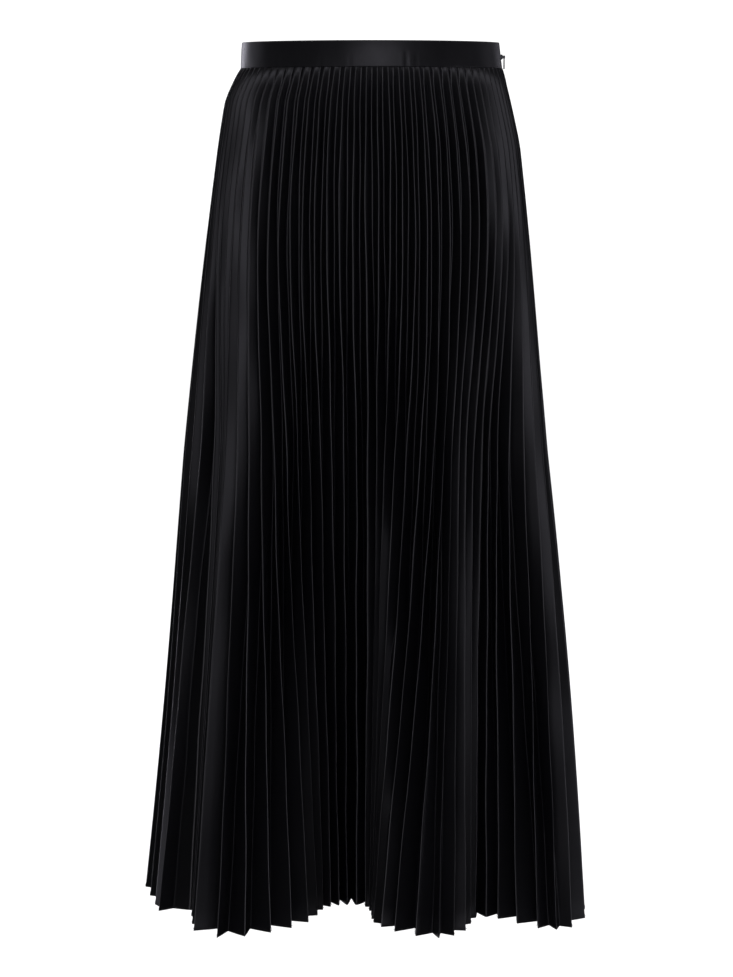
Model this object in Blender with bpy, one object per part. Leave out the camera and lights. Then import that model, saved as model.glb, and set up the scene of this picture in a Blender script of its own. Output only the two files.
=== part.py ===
"""A pleated midi skirt, held open at the waist as it is when worn.

Two sunray-pleated panels hang from a plain waistband. The pleats are pressed flat into the band, deepen
all the way down, and gather into a few broad folds at the hem. An invisible zip closes the side seam at +X.

Frame: metres, +Z up, the front faces -Y. The origin is the centre of the waist, half-way up the waistband.
"""

import math
from collections import namedtuple

import bmesh
import bpy

# ---- driving dimensions ----
SEAM_GAP = 0.0003  # between pieces that are sewn or stacked together
CLOTH = 0.001  # wall of the pleated satin
BAND_WALL = 0.0024  # the folded, interfaced waistband
BAND_HALF = 0.013  # half the waistband's height, so the band runs from -13 to +13 mm at the front
LENGTH = 0.8551  # from the waistband's lower edge to the hem
FRONT_PLEATS = 40
BACK_PLEATS = 40
PLEATS = FRONT_PLEATS + BACK_PLEATS
FACE_AT_WAIST = 0.0082  # width of one side of a pleat at the waist
FACE_AT_HEM = 0.0255  # and at the hem
PRESSED = 0.30  # share of its depth that a pleat keeps where it is sewn into the band
RELEASE = 0.016  # how far below the band it reaches its full depth
FOLD_ROOM = 0.0026  # least distance between two folds on the tight side of a bend
FLATTEST = 0.30  # a pleat that is pulled wide still stands this share of its face's width
BACK_RISE = 0.0046  # the waist line rises this much at the back
SIDE_DIP = 0.0003  # the band's top edge dips this much at the sides
BAND_SEGMENTS = 96  # around the waistband
LEVELS = (0.0, 0.007, 0.018, 0.036, 0.065, 0.100, 0.160, 0.230, 0.305, 0.385, 0.475, 0.580, 0.700, LENGTH)
HIP = 0.100  # drops from the band where the body, the knee fold and the hem fold set the shape
KNEE = 0.385

# ---- the outline over the hips: half-widths and half-depths at each drop ----
Section = namedtuple("Section", "drop left right front back")
SECTIONS = [
    Section(0.000, 0.1311, 0.1306, 0.0930, 0.0930),
    Section(0.006, 0.1351, 0.1329, 0.0945, 0.0955),
    Section(0.014, 0.1395, 0.1350, 0.0965, 0.0985),
    Section(0.022, 0.1434, 0.1370, 0.0985, 0.1015),
    Section(0.032, 0.1473, 0.1395, 0.1005, 0.1045),
    Section(0.050, 0.1507, 0.1437, 0.1035, 0.1090),
    Section(0.075, 0.1547, 0.1490, 0.1065, 0.1145),
    Section(0.100, 0.1582, 0.1521, 0.1090, 0.1190),
]

# ---- the waistband: half-widths and half-depths of its outer face, a row for each edge ----
Edge = namedtuple("Edge", "height left right front back")
BAND_EDGES = [
    Edge(-1.0, 0.1308, 0.1300, 0.0935, 0.0935),
    Edge(-0.4, 0.1305, 0.1290, 0.0934, 0.0934),
    Edge(0.4, 0.1300, 0.1278, 0.0928, 0.0928),
    Edge(1.0, 0.1293, 0.1268, 0.0920, 0.0920),
]

# ---- the broad folds: where the pleat of that number stands at the knee and at the hem, and how far it swells
# ---- to the side half-way between the two ----
Fold = namedtuple("Fold", "pleat knee_x knee_y hem_x hem_y swell")
FOLDS = [
    Fold(0.0, -0.1912, 0.0230, -0.2390, 0.0560, 0.0025),
    Fold(0.5, -0.1932, 0.0140, -0.2400, 0.0380, 0.0025),
    Fold(1.5, -0.1905, -0.0020, -0.2325, 0.0060, 0.0025),
    Fold(2.5, -0.1832, -0.0185, -0.2245, -0.0240, 0.0015),
    Fold(3.5, -0.1737, -0.0330, -0.2184, -0.0470, 0.0),
    Fold(4.5, -0.1585, -0.0410, -0.1880, -0.0430, 0.0),
    Fold(5.5, -0.1535, -0.0505, -0.1848, -0.0640, 0.0),
    Fold(6.5, -0.1505, -0.0600, -0.1825, -0.0880, 0.0),
    Fold(7.5, -0.1470, -0.0700, -0.1792, -0.1116, 0.0),
    Fold(8.5, -0.1340, -0.0860, -0.1535, -0.1340, 0.0),
    Fold(10.5, -0.1086, -0.1060, -0.1009, -0.1172, 0.0),
    Fold(12.5, -0.0832, -0.1130, -0.0630, -0.0837, 0.0),
    Fold(14.5, -0.0606, -0.1110, -0.0482, -0.0417, 0.0),
    Fold(17.0, -0.0329, -0.1010, -0.0293, -0.0291, 0.0),
    Fold(19.5, -0.0042, -0.0970, -0.0082, -0.0323, 0.0),
    Fold(21.5, 0.0113, -0.1080, -0.0020, -0.0606, 0.0),
    Fold(23.5, 0.0329, -0.1190, 0.0011, -0.0837, 0.0),
    Fold(25.5, 0.0595, -0.1200, 0.0221, -0.1141, 0.0),
    Fold(27.5, 0.0788, -0.1120, 0.0662, -0.1351, 0.0),
    Fold(29.5, 0.0931, -0.0980, 0.0947, -0.1109, 0.0),
    Fold(31.5, 0.1085, -0.0870, 0.1063, -0.0690, 0.0),
    Fold(33.5, 0.1238, -0.0820, 0.1284, -0.0732, 0.0),
    Fold(34.5, 0.1360, -0.0780, 0.1460, -0.0880, 0.0),
    Fold(35.5, 0.1520, -0.0690, 0.1662, -0.1036, 0.0010),
    Fold(36.5, 0.1640, -0.0560, 0.1850, -0.1080, 0.0020),
    Fold(37.5, 0.1728, -0.0400, 0.2020, -0.1004, 0.0028),
    Fold(38.5, 0.1772, -0.0230, 0.2178, -0.0690, 0.0036),
    Fold(40.0, 0.1798, -0.0010, 0.2200, -0.0249, 0.0038),
    Fold(43.0, 0.1803, 0.0360, 0.2170, 0.0485, 0.004),
    Fold(46.0, 0.1614, 0.0760, 0.1982, 0.1093, 0.002),
    Fold(49.0, 0.1279, 0.1000, 0.1404, 0.1303, 0.0),
    Fold(52.0, 0.0943, 0.1160, 0.1035, 0.0925, 0.0),
    Fold(55.0, 0.0585, 0.1330, 0.0783, 0.1450, 0.0),
    Fold(58.0, 0.0198, 0.1360, 0.0237, 0.1638, 0.0),
    Fold(61.0, -0.0160, 0.1280, -0.0143, 0.1135, 0.0),
    Fold(64.0, -0.0517, 0.1310, -0.0500, 0.1324, 0.0),
    Fold(67.0, -0.0884, 0.1300, -0.1046, 0.1638, 0.0),
    Fold(70.0, -0.1231, 0.1100, -0.1468, 0.1177, 0.0),
    Fold(73.0, -0.1528, 0.0940, -0.1783, 0.1135, 0.0),
    Fold(76.5, -0.1742, 0.0680, -0.2172, 0.1166, 0.001),
]

# ---- the zip in the side seam at +X ----
TAPE_WALL = 0.0008
TAPE_REACH = (0.0009, 0.0050, 0.0095)  # across one tape, from its toothed edge
TAPE_TOP = 0.0075  # height of the tape's top end
TAPE_DROPS = (0.006, 0.020, 0.050, 0.100, 0.150, 0.195)
TAPE_STAND = 0.0007  # how far the tape stands off the folds behind it
SLIT_HALF = 0.0008  # half the opening in the waistband that the slider's neck passes through
PIN_X = 0.1318
PIN_Z = -0.0015
PIN_RADIUS = 0.0005
EYE_RADIUS = 0.0008
BARREL_RADIUS = 0.0012
BARREL_LENGTH = 0.0022
PULL_LENGTH = 0.0120  # from the pin to the tip
PULL_WIDTH = 0.0050
PULL_NECK = 0.0018
PULL_WALL = 0.0012
NECK_LENGTH = 0.0028

SATIN = {"colour": (0.012, 0.012, 0.014, 1), "roughness": 0.36, "metallic": 0.0}
BAND_SATIN = {"colour": (0.014, 0.014, 0.016, 1), "roughness": 0.30, "metallic": 0.0}
ZIP_CLOTH = {"colour": (0.015, 0.015, 0.017, 1), "roughness": 0.75, "metallic": 0.0}
ZIP_METAL = {"colour": (0.030, 0.030, 0.033, 1), "roughness": 0.30, "metallic": 0.6}


# where pleats are let out flatter, or below zero pressed deeper, than the pressing alone would make them
Flat = namedtuple("Flat", "pleat spread top bottom share")
FLATS = [
    Flat(7.6, 3.4, 0.02, 0.34, 0.42),
    Flat(8.0, 1.2, 0.42, 0.98, -0.60),
    Flat(22.0, 1.3, 0.40, 0.70, 0.55),
    Flat(23.0, 1.2, 0.52, 0.86, 0.62),
    Flat(24.0, 1.2, 0.68, 0.98, 0.66),
    Flat(28.4, 2.6, 0.22, 0.60, 0.24),
    Flat(31.6, 2.8, 0.24, 0.98, 0.40),
    Flat(32.3, 2.5, 0.02, 0.34, 0.36),
    Flat(37.0, 1.4, 0.34, 0.60, -0.25),
    Flat(37.2, 1.6, 0.58, 0.98, 0.26),
]


# ---- curves through the tables ----
def hermite(t, width, start, end, start_slope, end_slope):
    """A cubic from start to end over width, with the slopes given at its ends."""
    return (
        (2 * t**3 - 3 * t**2 + 1) * start
        + (t**3 - 2 * t**2 + t) * width * start_slope
        + (3 * t**2 - 2 * t**3) * end
        + (t**3 - t**2) * width * end_slope
    )


def along(rows, name, value):
    """A smooth curve through one column of a table, read at a value of its first column."""
    last = len(rows) - 1
    i = 0
    while i < last - 1 and rows[i + 1][0] <= value:
        i += 1

    def slope(j):
        low, high = rows[max(j - 1, 0)], rows[min(j + 1, last)]
        return (getattr(high, name) - getattr(low, name)) / (high[0] - low[0])

    start, end = rows[i], rows[i + 1]
    width = end[0] - start[0]
    t = (value - start[0]) / width
    return hermite(t, width, getattr(start, name), getattr(end, name), slope(i), slope(i + 1))


def turned(rows, turns):
    """The fold rows, numbered a whole turn further round."""
    return [row._replace(pleat=row.pleat + turns * PLEATS) for row in rows]


ROUND_FOLDS = turned(FOLDS[-3:], -1) + FOLDS + turned(FOLDS[:3], 1)


def angle_of(pleat):
    """Pleat 0 is at the side seam at -X, and the numbers run past the front."""
    return math.pi + 2 * math.pi * pleat / PLEATS


def oval(rows, pleat, value):
    """A point of the oval that a table gives at one height, at a pleat's angle."""
    across, deep = math.cos(angle_of(pleat)), math.sin(angle_of(pleat))
    side = "right" if across > 0 else "left"
    face = "back" if deep > 0 else "front"
    return along(rows, side, value) * across, along(rows, face, value) * deep


def crest(pleat, drop):
    """Where the outer fold of a pleat stands: over the hip oval, then through the knee and the hem."""
    if drop <= HIP:
        return oval(SECTIONS, pleat, drop)
    number = pleat % PLEATS
    step = HIP / 25
    top, above = oval(SECTIONS, number, HIP), oval(SECTIONS, number, HIP - step)
    point = []
    for axis, name in enumerate("xy"):
        knee = along(ROUND_FOLDS, "knee_" + name, number)
        hem = along(ROUND_FOLDS, "hem_" + name, number)
        top_slope = (top[axis] - above[axis]) / step
        knee_slope = (hem - top[axis]) / (LENGTH - HIP)
        hem_slope = (hem - knee) / (LENGTH - KNEE)
        if drop <= KNEE:
            width = KNEE - HIP
            point.append(hermite((drop - HIP) / width, width, top[axis], knee, top_slope, knee_slope))
        else:
            width = LENGTH - KNEE
            t = (drop - KNEE) / width
            swell = along(ROUND_FOLDS, "swell", number) * math.sin(math.pi * t) * (axis == 0)
            point.append(hermite(t, width, knee, hem, knee_slope, hem_slope) + swell)
    return tuple(point)


def lie(pleat, drop):
    """The way in from the crest line, its length for one pleat, and how tightly it bends."""
    before, here, after = crest(pleat - 0.5, drop), crest(pleat, drop), crest(pleat + 0.5, drop)
    run_x, run_y = after[0] - before[0], after[1] - before[1]
    pitch = math.hypot(run_x, run_y)
    heading_in = math.atan2(here[1] - before[1], here[0] - before[0])
    heading_out = math.atan2(after[1] - here[1], after[0] - here[0])
    turn = (heading_out - heading_in + math.pi) % (2 * math.pi) - math.pi
    return (-run_y / pitch, run_x / pitch), pitch, turn / (pitch / 2)


def openness(pleat, drop):
    """How far the pleats are let out flat in a few places, as a share of their full depth."""
    share = 1.0
    for flat in FLATS:
        across = max(0.0, min(1.0, 1.4 * (1 - abs(pleat - flat.pleat) / flat.spread)))
        along = max(0.0, min(1.0, (drop - flat.top) / 0.06)) * max(0.0, min(1.0, (flat.bottom - drop) / 0.12))
        share -= flat.share * across * across * (3 - 2 * across) * along
    return share


def fold_depth(pleat, drop):
    """How deep a pleat is, and how far its wall reaches along the same line."""
    near = [lie(pleat + k / 2, drop) for k in (-2, -1, 0, 1, 2)]
    half = sum(pitch for _, pitch, _ in near) / len(near) / 2
    bend = max(turn for _, _, turn in near)
    face = FACE_AT_WAIST + (FACE_AT_HEM - FACE_AT_WAIST) * drop / LENGTH
    pressed = min(1.0, PRESSED + (1 - PRESSED) * drop / RELEASE)
    depth = math.sqrt(max(face**2 - half**2, (FLATTEST * face) ** 2)) * pressed
    wall = CLOTH * math.hypot(half, depth) / half
    if bend > 0:
        depth = min(depth, max((1 - FOLD_ROOM / (2 * half)) / bend - wall, FLATTEST * face))
    depth *= openness(pleat, drop)
    return depth, CLOTH * math.hypot(half, depth) / half


def waist_rise(pleat):
    """How much higher the waist seam is at this pleat than at the front."""
    return BACK_RISE * max(0.0, math.sin(angle_of(pleat))) ** 2


def height_of(pleat, drop):
    """World height of a drop: the rise at the back fades out towards a level hem."""
    return -BAND_HALF - drop + waist_rise(pleat) * (1 - drop / LENGTH)


# ---- mesh helpers ----
def finish(name, mesh_data, look):
    """Makes one object with its own material from a bmesh."""
    bmesh.ops.recalc_face_normals(mesh_data, faces=mesh_data.faces)
    mesh = bpy.data.meshes.new(name)
    mesh_data.to_mesh(mesh)
    mesh_data.free()
    thing = bpy.data.objects.new(name, mesh)
    bpy.context.collection.objects.link(thing)
    material = bpy.data.materials.new(name + "_finish")
    material.use_nodes = True
    shader = material.node_tree.nodes["Principled BSDF"]
    shader.inputs["Base Color"].default_value = look["colour"]
    shader.inputs["Roughness"].default_value = look["roughness"]
    shader.inputs["Metallic"].default_value = look["metallic"]
    mesh.materials.append(material)
    return thing


def sheet_wall(name, outer_rows, inner_rows, look):
    """A closed wall between two grids of points, a row for each level, split along the same diagonals."""
    data = bmesh.new()
    outer = [[data.verts.new(point) for point in row] for row in outer_rows]
    inner = [[data.verts.new(point) for point in row] for row in inner_rows]
    last_row, last = len(outer) - 1, len(outer[0]) - 1
    for r in range(last_row):
        for c in range(last):
            for grid, flip in ((outer, False), (inner, True)):
                a, b = grid[r][c], grid[r][c + 1]
                d, e = grid[r + 1][c], grid[r + 1][c + 1]
                for corners in ((a, d, e), (a, e, b)):
                    data.faces.new(corners[::-1] if flip else corners)
    for r in (0, last_row):
        for c in range(last):
            rim = (outer[r][c], outer[r][c + 1], inner[r][c + 1], inner[r][c])
            data.faces.new(rim if r == 0 else rim[::-1])
    for c in (0, last):
        for r in range(last_row):
            side = (outer[r][c], inner[r][c], inner[r + 1][c], outer[r + 1][c])
            data.faces.new(side if c == 0 else side[::-1])
    return finish(name, data, look)


def box(data, x_span, y_span, z_span):
    """A plain block in a bmesh."""
    made = bmesh.ops.create_cube(data, size=1.0)
    for vert in made["verts"]:
        for axis, (low, high) in enumerate((x_span, y_span, z_span)):
            vert.co[axis] = (low + high) / 2 + vert.co[axis] * (high - low)


def rod(name, radius, length, sides, look):
    """A round bar along Y on the pull's pin axis."""
    bpy.ops.mesh.primitive_cylinder_add(
        vertices=sides, radius=radius, depth=length, location=(PIN_X, 0, PIN_Z), rotation=(math.pi / 2, 0, 0)
    )
    thing = bpy.context.object
    bpy.ops.object.transform_apply(location=True, rotation=True, scale=True)
    thing.name = name
    return thing


def combine(target, other, operation):
    """Applies one exact Boolean, and removes the second shape."""
    modifier = target.modifiers.new("combine", "BOOLEAN")
    modifier.operation = operation
    modifier.object = other
    bpy.context.view_layer.objects.active = target
    bpy.ops.object.modifier_apply(modifier=modifier.name)
    bpy.data.objects.remove(other)


# ---- the pieces ----
def pleated_panel(name, first, last):
    """One pleated panel, seamed in a valley at each side, from one numbered pleat to another."""
    outer_rows, inner_rows = [], []
    for drop in LEVELS:
        outer, inner = [], []
        for k in range(2 * (last - first) + 1):
            pleat = first + k / 2
            way_in, pitch, _ = lie(pleat, drop)
            depth, wall = fold_depth(pleat, drop)
            inset = depth if k % 2 == 0 else 0.0
            clear = SEAM_GAP / 2 / pitch
            if pleat == first:
                pleat += clear
            elif pleat == last:
                pleat -= clear
            x, y = crest(pleat, drop)
            z = height_of(pleat, drop)
            for points, reach in ((outer, inset), (inner, inset + wall)):
                points.append((x + way_in[0] * reach, y + way_in[1] * reach, z))
        outer_rows.append(outer)
        inner_rows.append(inner)
    return sheet_wall(name, outer_rows, inner_rows, SATIN)


def band_span(pleat):
    """The heights of the waistband's lower and top edge at a pleat."""
    rise = waist_rise(pleat)
    return rise - BAND_HALF + SEAM_GAP, rise + BAND_HALF - SIDE_DIP * math.cos(angle_of(pleat)) ** 2


def band_point(pleat, share, inset):
    """A point of the waistband: share runs from -1 at its lower edge to 1 at its top edge."""
    x, y = oval(BAND_EDGES, pleat, share)
    after, before = oval(BAND_EDGES, pleat + 0.1, share), oval(BAND_EDGES, pleat - 0.1, share)
    run_x, run_y = after[0] - before[0], after[1] - before[1]
    run = math.hypot(run_x, run_y)
    low, high = band_span(pleat)
    z = low + (high - low) * (share + 1) / 2
    return x - run_y / run * inset, y + run_x / run * inset, z


def waistband():
    """One strip round the waist, open at the zip."""
    rim = band_point(FRONT_PLEATS + 0.1, 0.0, 0.0)
    slit = 0.1 * SLIT_HALF / abs(rim[1])
    first, last = FRONT_PLEATS + slit, FRONT_PLEATS + PLEATS - slit
    rounds = [first + (last - first) * k / BAND_SEGMENTS for k in range(BAND_SEGMENTS + 1)]
    shares = [edge.height for edge in BAND_EDGES][::-1]
    outer = [[band_point(pleat, share, 0.0) for pleat in rounds] for share in shares]
    inner = [[band_point(pleat, share, BAND_WALL) for pleat in rounds] for share in shares]
    return sheet_wall("waistband", outer, inner, BAND_SATIN)


def tape_point(reach, side, z, inset):
    """A point of the zip tape, reach from the seam, behind the band or behind the pleats."""
    if z > -BAND_HALF:
        pleat = FRONT_PLEATS + side * reach / (2 * math.pi * BAND_EDGES[0].front / PLEATS)
        low, high = band_span(pleat)
        share = 2 * (z - low) / (high - low) - 1
        x, y, _ = band_point(pleat, share, BAND_WALL + SEAM_GAP + inset)
        return x, y, z
    drop = -BAND_HALF - z
    _, pitch, _ = lie(FRONT_PLEATS, drop)
    pleat = FRONT_PLEATS + side * reach / pitch
    way_in, _, _ = lie(pleat, drop)
    depth, wall = fold_depth(FRONT_PLEATS, drop)
    x, y = crest(pleat, drop)
    behind = depth + wall + TAPE_STAND + inset
    return x + way_in[0] * behind, y + way_in[1] * behind, z


def zip_tape(name, side):
    """Half of the zip: a narrow woven tape behind one side of the seam."""
    heights = [TAPE_TOP, -BAND_HALF + SEAM_GAP] + [-BAND_HALF - drop for drop in TAPE_DROPS]
    outer = [[tape_point(reach, side, z, 0.0) for reach in TAPE_REACH] for z in heights]
    inner = [[tape_point(reach, side, z, TAPE_WALL) for reach in TAPE_REACH] for z in heights]
    return sheet_wall(name, outer, inner, ZIP_CLOTH)


def zip_slider():
    """The slider: a body behind the tapes, a neck through the slit, and two cheeks with the pull's pin."""
    data = bmesh.new()
    box(data, (0.1215, 0.1238), (-0.0032, 0.0032), (-0.0070, 0.0040))
    slider = finish("zip_slider", data, ZIP_METAL)
    parts = [
        ((0.1230, 0.1300), (-0.0005, 0.0005), (-0.0040, 0.0010)),
        ((0.1293, 0.1302), (-0.0022, 0.0022), (-0.0035, 0.0010)),
        ((0.1298, 0.1328), (0.0014, 0.0022), (-0.0030, 0.0000)),
        ((0.1298, 0.1328), (-0.0022, -0.0014), (-0.0030, 0.0000)),
    ]
    for spans in parts:
        data = bmesh.new()
        box(data, *spans)
        combine(slider, finish("slider_part", data, ZIP_METAL), "UNION")
    combine(slider, rod("slider_pin", PIN_RADIUS, 0.0036, 12, ZIP_METAL), "UNION")
    return slider


def zip_pull():
    """The pull tab: a barrel on the pin, a narrow neck and a drop-shaped tab that hangs down."""
    half_neck, half_wide = PULL_NECK / 2, PULL_WIDTH / 2
    outline = [(-half_neck, 0.0), (-half_neck, -NECK_LENGTH)]
    centre = -(PULL_LENGTH - half_wide)
    for k in range(13):
        angle = math.pi + math.pi * k / 12
        outline.append((half_wide * math.cos(angle), centre + half_wide * math.sin(angle)))
    outline += [(half_neck, -NECK_LENGTH), (half_neck, 0.0)]
    data = bmesh.new()
    verts = [data.verts.new((PIN_X - PULL_WALL / 2, y, PIN_Z + z)) for y, z in outline]
    made = bmesh.ops.extrude_face_region(data, geom=[data.faces.new(verts)])
    for part in made["geom"]:
        if isinstance(part, bmesh.types.BMVert):
            part.co.x += PULL_WALL
    pull = finish("zip_pull", data, ZIP_METAL)
    combine(pull, rod("pull_barrel", BARREL_RADIUS, BARREL_LENGTH, 20, ZIP_METAL), "UNION")
    combine(pull, rod("pull_eye", EYE_RADIUS, 2 * BARREL_LENGTH, 16, ZIP_METAL), "DIFFERENCE")
    return pull


def main():
    for thing in list(bpy.data.objects):
        bpy.data.objects.remove(thing)
    waistband()
    pleated_panel("skirt_front", 0, FRONT_PLEATS)
    pleated_panel("skirt_back", FRONT_PLEATS, PLEATS)
    zip_tape("zip_tape_front", -1)
    zip_tape("zip_tape_back", 1)
    zip_slider()
    zip_pull()


main()
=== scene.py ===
# %% [markdown]
# # A sunray-pleated satin skirt, worn open with nobody inside
# A pleated skirt is two flat sectors of cloth, folded like a paper fan and pressed with steam. The folds are
# shallow at the waist and deep at the hem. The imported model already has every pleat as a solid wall, so this
# script repeats its few tables and lays a finer, thinner cloth on the same form.

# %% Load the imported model
import math
from collections import namedtuple

import bpy
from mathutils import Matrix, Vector


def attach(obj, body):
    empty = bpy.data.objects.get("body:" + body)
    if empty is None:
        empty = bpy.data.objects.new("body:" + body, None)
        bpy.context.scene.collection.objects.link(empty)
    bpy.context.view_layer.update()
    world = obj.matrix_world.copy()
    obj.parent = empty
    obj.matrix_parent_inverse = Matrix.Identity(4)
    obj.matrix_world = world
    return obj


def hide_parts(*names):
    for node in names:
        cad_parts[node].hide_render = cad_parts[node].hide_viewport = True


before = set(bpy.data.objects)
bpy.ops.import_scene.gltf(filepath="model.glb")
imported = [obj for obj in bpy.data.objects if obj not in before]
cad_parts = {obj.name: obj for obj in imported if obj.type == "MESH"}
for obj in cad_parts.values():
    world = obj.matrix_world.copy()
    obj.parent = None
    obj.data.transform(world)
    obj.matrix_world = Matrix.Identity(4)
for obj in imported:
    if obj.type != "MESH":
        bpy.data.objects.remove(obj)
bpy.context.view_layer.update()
print("packed nodes:", sorted(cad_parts))

# %% [markdown]
# ## The camera
# A camera just below the waistband's height looks slightly down, so the band is seen almost edge on and the
# hem shows its folds from above. A long lens keeps the sides nearly straight.

# %% Place the camera
EYE = (-0.0053, -2.6, -0.0535)
LOOK_DOWN = math.radians(8.371)
LENS = 94.83  # millimetres, on a 36 mm sensor

bpy.ops.object.select_all(action="DESELECT")
bpy.ops.object.camera_add(location=EYE, rotation=(math.pi / 2 - LOOK_DOWN, 0, 0))
camera = bpy.context.object
camera.data.sensor_width = 36
camera.data.lens = LENS
camera.data.clip_start = 0.05
bpy.context.scene.camera = camera

# %% [markdown]
# ## The form of the skirt
# Each crest is one smooth line from the waistband to the hem. Over the hips the lines follow an oval. Below,
# two tables say where a few numbered pleats stand at the knee and at the hem, and a smooth curve fills in the
# rest. This is the maker's way too: the fabric is gathered into a few broad folds and each pleat follows.
# A third table lists the places where some pleats lie flatter than their neighbours, or are pressed deeper.

# %% Sizes and tables
SEAM_GAP = 0.0003  # between pieces that are sewn or stacked together
CLOTH = 0.00055  # thickness of the fine cloth
SOLID_CLOTH = 0.001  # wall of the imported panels, which the fine cloth follows
BAND_WALL = 0.0024  # the folded, interfaced waistband
BAND_HALF = 0.013  # half the waistband's height
LENGTH = 0.8551  # from the waistband's lower edge to the hem
FRONT_PLEATS = 40
BACK_PLEATS = 40
PLEATS = FRONT_PLEATS + BACK_PLEATS
FACE_AT_WAIST = 0.0082  # width of one side of a pleat at the waist
FACE_AT_HEM = 0.0255  # and at the hem
PRESSED = 0.30  # share of its depth that a pleat keeps where it is sewn into the band
RELEASE = 0.016  # how far below the band it reaches its full depth
FOLD_ROOM = 0.0026  # least distance between two folds on the tight side of a bend
FLATTEST = 0.30  # a pleat that is pulled wide still stands this share of its face's width
BACK_RISE = 0.0046  # the waist line rises this much at the back
SIDE_DIP = 0.0003  # the band's top edge dips this much at the sides
HIP = 0.100  # drops from the band where the body, the knee fold and the hem fold set the shape
KNEE = 0.385

# half widths of the skirt at drops from the waistband's lower edge
Section = namedtuple("Section", "drop left right front back")
SECTIONS = [
    Section(0.000, 0.1311, 0.1306, 0.0930, 0.0930),
    Section(0.006, 0.1351, 0.1329, 0.0945, 0.0955),
    Section(0.014, 0.1395, 0.1350, 0.0965, 0.0985),
    Section(0.022, 0.1434, 0.1370, 0.0985, 0.1015),
    Section(0.032, 0.1473, 0.1395, 0.1005, 0.1045),
    Section(0.050, 0.1507, 0.1437, 0.1035, 0.1090),
    Section(0.075, 0.1547, 0.1490, 0.1065, 0.1145),
    Section(0.100, 0.1582, 0.1521, 0.1090, 0.1190),
]

# half widths of the waistband, from its lower edge at -1 to its top edge at 1
Edge = namedtuple("Edge", "height left right front back")
BAND_EDGES = [
    Edge(-1.0, 0.1308, 0.1300, 0.0935, 0.0935),
    Edge(-0.4, 0.1305, 0.1290, 0.0934, 0.0934),
    Edge(0.4, 0.1300, 0.1278, 0.0928, 0.0928),
    Edge(1.0, 0.1293, 0.1268, 0.0920, 0.0920),
]

# where numbered pleats stand at the knee and at the hem, and how far they swell between
Fold = namedtuple("Fold", "pleat knee_x knee_y hem_x hem_y swell")
FOLDS = [
    Fold(0.0, -0.1912, 0.0230, -0.2390, 0.0560, 0.0025),
    Fold(0.5, -0.1932, 0.0140, -0.2400, 0.0380, 0.0025),
    Fold(1.5, -0.1905, -0.0020, -0.2325, 0.0060, 0.0025),
    Fold(2.5, -0.1832, -0.0185, -0.2245, -0.0240, 0.0015),
    Fold(3.5, -0.1737, -0.0330, -0.2184, -0.0470, 0.0),
    Fold(4.5, -0.1585, -0.0410, -0.1880, -0.0430, 0.0),
    Fold(5.5, -0.1535, -0.0505, -0.1848, -0.0640, 0.0),
    Fold(6.5, -0.1505, -0.0600, -0.1825, -0.0880, 0.0),
    Fold(7.5, -0.1470, -0.0700, -0.1792, -0.1116, 0.0),
    Fold(8.5, -0.1340, -0.0860, -0.1535, -0.1340, 0.0),
    Fold(10.5, -0.1086, -0.1060, -0.1009, -0.1172, 0.0),
    Fold(12.5, -0.0832, -0.1130, -0.0630, -0.0837, 0.0),
    Fold(14.5, -0.0606, -0.1110, -0.0482, -0.0417, 0.0),
    Fold(17.0, -0.0329, -0.1010, -0.0293, -0.0291, 0.0),
    Fold(19.5, -0.0042, -0.0970, -0.0082, -0.0323, 0.0),
    Fold(21.5, 0.0113, -0.1080, -0.0020, -0.0606, 0.0),
    Fold(23.5, 0.0329, -0.1190, 0.0011, -0.0837, 0.0),
    Fold(25.5, 0.0595, -0.1200, 0.0221, -0.1141, 0.0),
    Fold(27.5, 0.0788, -0.1120, 0.0662, -0.1351, 0.0),
    Fold(29.5, 0.0931, -0.0980, 0.0947, -0.1109, 0.0),
    Fold(31.5, 0.1085, -0.0870, 0.1063, -0.0690, 0.0),
    Fold(33.5, 0.1238, -0.0820, 0.1284, -0.0732, 0.0),
    Fold(34.5, 0.1360, -0.0780, 0.1460, -0.0880, 0.0),
    Fold(35.5, 0.1520, -0.0690, 0.1662, -0.1036, 0.0010),
    Fold(36.5, 0.1640, -0.0560, 0.1850, -0.1080, 0.0020),
    Fold(37.5, 0.1728, -0.0400, 0.2020, -0.1004, 0.0028),
    Fold(38.5, 0.1772, -0.0230, 0.2178, -0.0690, 0.0036),
    Fold(40.0, 0.1798, -0.0010, 0.2200, -0.0249, 0.0038),
    Fold(43.0, 0.1803, 0.0360, 0.2170, 0.0485, 0.004),
    Fold(46.0, 0.1614, 0.0760, 0.1982, 0.1093, 0.002),
    Fold(49.0, 0.1279, 0.1000, 0.1404, 0.1303, 0.0),
    Fold(52.0, 0.0943, 0.1160, 0.1035, 0.0925, 0.0),
    Fold(55.0, 0.0585, 0.1330, 0.0783, 0.1450, 0.0),
    Fold(58.0, 0.0198, 0.1360, 0.0237, 0.1638, 0.0),
    Fold(61.0, -0.0160, 0.1280, -0.0143, 0.1135, 0.0),
    Fold(64.0, -0.0517, 0.1310, -0.0500, 0.1324, 0.0),
    Fold(67.0, -0.0884, 0.1300, -0.1046, 0.1638, 0.0),
    Fold(70.0, -0.1231, 0.1100, -0.1468, 0.1177, 0.0),
    Fold(73.0, -0.1528, 0.0940, -0.1783, 0.1135, 0.0),
    Fold(76.5, -0.1742, 0.0680, -0.2172, 0.1166, 0.001),
]

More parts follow.
